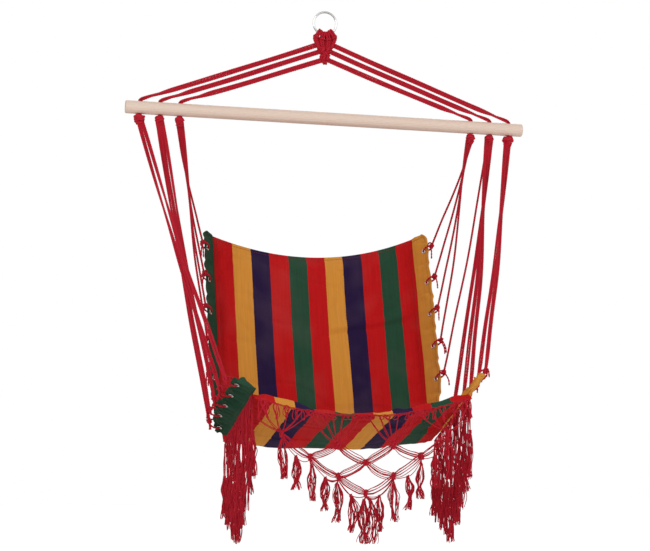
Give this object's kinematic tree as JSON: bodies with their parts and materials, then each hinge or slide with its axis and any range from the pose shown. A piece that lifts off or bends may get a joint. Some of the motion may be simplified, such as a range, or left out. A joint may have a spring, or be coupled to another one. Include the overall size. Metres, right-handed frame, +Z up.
{
  "type": "hammock chair",
  "caption": "Hanging chair with a padded cloth seat and reclined back laced by cords to a wooden spreader bar under a steel ring, with knotted fringes",
  "frame": {"origin": "the inside top of the steel ring, where a hook bears", "axes": "+Z up, -Y towards the front of the seat, +X to the right of someone facing the front"},
  "size_m": [1.0004, 0.655, 1.3009],
  "materials": {
    "steel": "polished",
    "nickel": "satin",
    "beech": "matte",
    "cord": "matte",
    "striped_cloth": "matte",
    "green_cloth": "matte",
    "ochre_cloth": "matte"
  },
  "bodies": {
    "ring": {"hanging_ring": "steel"},
    "rig": {"crown_knot": "cord", "upper_rope_left_1": "cord", "upper_rope_left_2": "cord", "upper_rope_left_3": "cord", "upper_rope_right_1": "cord", "upper_rope_right_2": "cord", "upper_rope_right_3": "cord", "spreader_bar": "beech"},
    "back": {"back_pad": "striped_cloth", "back_flap_left": "green_cloth", "back_eyelet_left_1": "nickel", "back_eyelet_left_2": "nickel", "back_eyelet_left_3": "nickel", "back_eyelet_left_4": "nickel", "back_eyelet_left_5": "nickel", "back_flap_right": "ochre_cloth", "back_eyelet_right_1": "nickel", "back_eyelet_right_2": "nickel", "back_eyelet_right_3": "nickel", "back_eyelet_right_4": "nickel", "back_eyelet_right_5": "nickel"},
    "seat": {"seat_pad": "striped_cloth", "seat_flap_left": "green_cloth", "seat_eyelet_left_1": "nickel", "seat_eyelet_left_2": "nickel", "seat_eyelet_left_3": "nickel", "seat_eyelet_left_4": "nickel", "seat_eyelet_left_5": "nickel", "seat_flap_right": "ochre_cloth", "seat_eyelet_right_1": "nickel", "seat_eyelet_right_2": "nickel", "seat_eyelet_right_3": "nickel", "seat_eyelet_right_4": "nickel", "seat_eyelet_right_5": "nickel", "back_cords_left": "cord", "back_lower_cord_left": "cord", "seat_rear_cords_left": "cord", "seat_front_cords_left": "cord", "back_cords_right": "cord", "back_lower_cord_right": "cord", "seat_rear_cords_right": "cord", "seat_front_cords_right": "cord", "front_hem_loops": "cord"},
    "front_net": {"front_fringe": "cord"},
    "left_net": {"left_fringe": "cord"},
    "right_net": {"right_fringe": "cord"}
  },
  "joints": [
    {"name": "chair_swing", "type": "hinge", "parent": "ring", "child": "rig", "pos_m": [0, 0, -0.054], "axis": [1, 0, 0], "range_deg": [-15, 15]},
    {"name": "seat_swing", "type": "hinge", "parent": "rig", "child": "seat", "pos_m": [0.00509, 0, -0.29279], "axis": [0.9995, 0, -0.0314], "range_deg": [-12, 12]},
    {"name": "back_fold", "type": "hinge", "parent": "seat", "child": "back", "pos_m": [0.018, 0.051, -1.078], "axis": [1, 0, 0], "range_deg": [0, 22], "deforming": ["back_cords_left", "back_cords_right", "back_lower_cord_left", "back_lower_cord_right"]},
    {"name": "front_net_swing", "type": "hinge", "parent": "seat", "child": "front_net", "pos_m": [0.018, -0.38917, -0.99836], "axis": [1, 0, 0], "range_deg": [-15, 15]},
    {"name": "left_net_swing", "type": "hinge", "parent": "seat", "child": "left_net", "pos_m": [-0.2395, -0.16352, -1.00292], "axis": [0.0293, -0.9564, 0.2907], "range_deg": [-12, 12]},
    {"name": "right_net_swing", "type": "hinge", "parent": "seat", "child": "right_net", "pos_m": [0.2755, -0.16352, -1.00292], "axis": [-0.0293, -0.9564, 0.2907], "range_deg": [-12, 12]}
  ]
}
